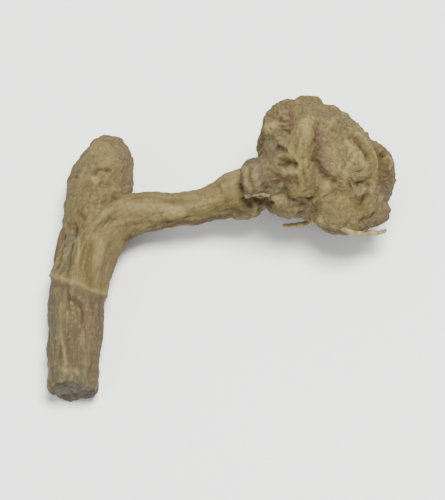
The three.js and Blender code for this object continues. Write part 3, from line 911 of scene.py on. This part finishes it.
class Finish:
    """A material made of nodes."""

    def __init__(self, name):
        self.material = bpy.data.materials.new(name)
        self.material.use_nodes = True
        self.tree = self.material.node_tree
        self.shader = self.tree.nodes["Principled BSDF"]

    def node(self, kind, settings=(), values=()):
        made = self.tree.nodes.new(kind)
        for name, value in dict(settings).items():
            setattr(made, name, value)
        for name, value in dict(values).items():
            self.feed(made.inputs[name], value)
        return made

    def feed(self, socket, value):
        if isinstance(value, Field):
            value = value.socket
        if isinstance(value, bpy.types.NodeSocket):
            self.tree.links.new(value, socket)
        else:
            socket.default_value = value

    def attribute(self, name):
        return self.node("ShaderNodeAttribute", {"attribute_type": "GEOMETRY", "attribute_name": name})

    def mark(self, name):
        return Field(self, self.attribute(name).outputs["Fac"])

    def mix(self, share, a, b, blend="MIX"):
        made = self.node("ShaderNodeMix", {"data_type": "RGBA", "blend_type": blend}, {0: share, 6: a, 7: b})
        return made.outputs[2]

    def pattern(self, vector, scale, detail, rough=0.55):
        values = {"Vector": vector, "Scale": scale, "Detail": detail, "Roughness": rough}
        return Field(self, self.node("ShaderNodeTexNoise", (), values).outputs["Fac"])


def colour(red, green, blue):
    """A colour as seen on a screen, from 0 to 255, as the shader wants it."""
    shares = [c / 255 for c in (red, green, blue)]
    return (*[((c + 0.055) / 1.055) ** 2.4 if c > 0.04 else c / 12.92 for c in shares], 1)


# The tones of the listed patches, ridges and grooves.
# The dark umber and the grey are partly painted shade, and the pale is partly painted highlight.
TONES = {
    "ochre": colour(94, 78, 34),
    "mauve": colour(108, 87, 68),
    "grey": colour(88, 83, 64),
    "umber": colour(72, 51, 32),
    "pale": colour(162, 146, 96),
}
DEEPEN = (0.625, 0.655, 0.625, 1)  # the whole skin is multiplied by this


def dried_skin():
    skin = Finish("dried_skin")
    object_places = skin.node("ShaderNodeTexCoord").outputs["Object"]
    grain = skin.attribute("grain").outputs["Vector"]
    stretch = skin.node("ShaderNodeMapping", (), {"Vector": grain, "Scale": (1, 1, 0.14)}).outputs[0]
    streaks = skin.pattern(stretch, 1.0, 4, 0.6)
    fibres = skin.pattern(stretch, 3.0, 3, 0.6)
    patches = skin.pattern(object_places, 90, 4, 0.6)
    blots = skin.pattern(object_places, 300, 4, 0.65)
    dust = skin.pattern(object_places, 1500, 2, 0.6)
    wrinkles = abs(skin.pattern(object_places, 620, 3, 0.55) - 0.5).clip(0, 0.09)
    furrow, hollow, ring, sheath, scar, flesh, tint, grainy = (
        skin.mark(name) for name in ("furrow", "hollow", "ring", "sheath", "scar", "flesh", "tint", "grainy")
    )
    lined = grainy.clip(0.1, 0.6)

    look = skin.mix(tint, colour(88, 72, 53), colour(122, 105, 62))
    look = skin.mix(patches.clip(0.5, 0.68) * 0.5, look, colour(104, 82, 55))
    look = skin.mix((1 - patches).clip(0.54, 0.7) * 0.5, look, colour(126, 112, 66))
    look = skin.mix(blots.clip(0.55, 0.72) * 0.45, look, colour(88, 70, 46))
    look = skin.mix((1 - blots).clip(0.56, 0.7) * 0.4, look, colour(138, 122, 78))
    ragged = 0.55 + (blots - 0.5) * 1.6 + (streaks - 0.5) * 1.2
    for name, shade in TONES.items():
        look = skin.mix((skin.mark(name) * (ragged + 0.35)).clip(0.05, 0.95) * 0.85, look, shade)
    look = skin.mix(streaks.clip(0.52, 0.68) * lined * 0.4, look, colour(84, 67, 41))
    look = skin.mix((1 - streaks).clip(0.52, 0.66) * lined * 0.4, look, colour(142, 125, 80))
    look = skin.mix((1 - wrinkles) * (1 - lined * 0.6) * 0.35, look, colour(76, 58, 36))
    # Painted highlight on sharp ridges.
    look = skin.mix((0.5 - furrow).clip(0.02, 0.4) * 0.45, look, colour(150, 133, 88))
    look = skin.mix(sheath.clip(0.2, 0.9) * 0.25, look, colour(136, 118, 75))
    look = skin.mix(ring.clip(0.2, 0.9) * (1.5 - streaks - blots * 0.6) * 0.7, look, colour(150, 133, 90))
    # Painted shade in the hollows and in the fine furrows.
    look = skin.mix(hollow.clip(0.55, 0.95) * 0.5, look, colour(66, 49, 29))
    look = skin.mix(furrow.clip(0.55, 0.95) * 0.5, look, colour(60, 44, 26))
    # The dark pits of the root scars, and painted shade in the slits.
    look = skin.mix(scar.clip(0.25, 0.8) * 0.7, look, colour(44, 33, 21))
    core = skin.mix(blots.clip(0.4, 0.6), colour(112, 100, 84), colour(84, 74, 66))
    look = skin.mix(flesh, look, core)
    look = skin.mix(dust.clip(0.35, 0.75) * 0.22, look, colour(72, 55, 34))
    look = skin.mix(1.0, look, DEEPEN, "MULTIPLY")
    skin.feed(skin.shader.inputs["Base Color"], look)
    skin.feed(skin.shader.inputs["Roughness"], 0.7 + 0.25 * streaks)
    skin.feed(skin.shader.inputs["Specular IOR Level"], 0.3)

    relief = (streaks * 0.6 + fibres * 0.35) * lined + wrinkles * (1 - lined * 0.6) * 0.5
    relief = relief + dust * 0.25 + blots * 0.6
    bump = skin.node("ShaderNodeBump", (), {"Strength": 0.7, "Distance": 0.0003, "Height": relief})
    skin.feed(skin.shader.inputs["Normal"], bump.outputs[0])
    return skin.material


def thin_skin(name, dark, pale):
    """A plainer finish for roots, hairs and scales: fibrous, between two browns."""
    skin = Finish(name)
    places = skin.node("ShaderNodeTexCoord").outputs["Object"]
    mottle = skin.pattern(places, 700, 4, 0.65)
    dust = skin.pattern(places, 2400, 2, 0.6)
    look = skin.mix(mottle.clip(0.35, 0.65), dark, pale)
    skin.feed(skin.shader.inputs["Base Color"], skin.mix(dust.clip(0.4, 0.7) * 0.4, look, colour(78, 62, 38)))
    skin.feed(skin.shader.inputs["Roughness"], 0.7 + 0.2 * mottle)
    relief = mottle + dust * 0.5
    bump = skin.node("ShaderNodeBump", (), {"Strength": 0.6, "Distance": 0.0002, "Height": relief})
    skin.feed(skin.shader.inputs["Normal"], bump.outputs[0])
    return skin.material


body_mesh.materials.append(dried_skin())
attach(body, "root")
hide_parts("rhizome")
root_skin = thin_skin("root_skin", colour(116, 95, 58), colour(160, 143, 94))
scale_skin = thin_skin("scale_skin", colour(104, 90, 60), colour(140, 126, 90))
for name, made in extras.items():
    bmesh.ops.recalc_face_normals(made, faces=made.faces)
    for face in made.faces:
        face.smooth = True
    mesh = made_mesh(name, made)
    mesh.transform(place)
    mesh.materials.append(scale_skin if name == "torn_scales" else root_skin)
    piece = in_scene(name, mesh)
    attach(piece, "root")


# ---------------------------------------------------------------- table, light and camera

TABLE_REACH = 1.5
LENS = 154
DISTANCE = 0.46  # from the camera to what it looks at
AIM_DROP = 0.0028  # how far below the middle the camera looks


def table_top():
    bm = bmesh.new()
    bmesh.ops.create_grid(bm, x_segments=1, y_segments=1, size=TABLE_REACH)
    top = in_scene("table_top", made_mesh("table_top", bm))
    paint = Finish("table_paint")
    places = paint.node("ShaderNodeTexCoord").outputs["Object"]
    cloudy = paint.pattern(places, 8, 2)
    white = paint.mix(cloudy, (0.88, 0.88, 0.875, 1), (0.92, 0.92, 0.915, 1))
    paint.feed(paint.shader.inputs["Base Color"], white)
    paint.feed(paint.shader.inputs["Roughness"], 0.8)
    top.data.materials.append(paint.material)


def lamp(name, place, target, size, watts, tone):
    light = bpy.data.lights.new(name, "AREA")
    light.shape, light.size, light.energy, light.color = "DISK", size, watts, tone
    thing = in_scene(name, light)
    thing.location = place
    thing.rotation_euler = (Vector(target) - Vector(place)).to_track_quat("-Z", "Y").to_euler()


low, high = (Vector(c) for c in NODE_BOX)
middle = (low + high) / 2
table_top()
lamp("window", middle + Vector((0.1, 0.02, 0.7)), middle, 0.35, 13.5, (1, 0.98, 0.95))
lamp("fill", middle + Vector((-0.5, -0.4, 0.5)), middle, 0.6, 2.4, (0.94, 0.97, 1))

world = bpy.data.worlds.new("room")
world.use_nodes = True
world.node_tree.nodes["Background"].inputs["Color"].default_value = (0.93, 0.96, 1, 1)
world.node_tree.nodes["Background"].inputs["Strength"].default_value = 0.7
bpy.context.scene.world = world

camera = bpy.data.cameras.new("camera")
camera.lens = LENS
camera.clip_start, camera.clip_end = 0.01, 10
camera_thing = in_scene("camera", camera)
camera_thing.location = middle - AIM_DROP * UP + NEAR * DISTANCE
camera_thing.rotation_euler = (-NEAR).to_track_quat("-Z", "Y").to_euler()
bpy.context.scene.camera = camera_thing
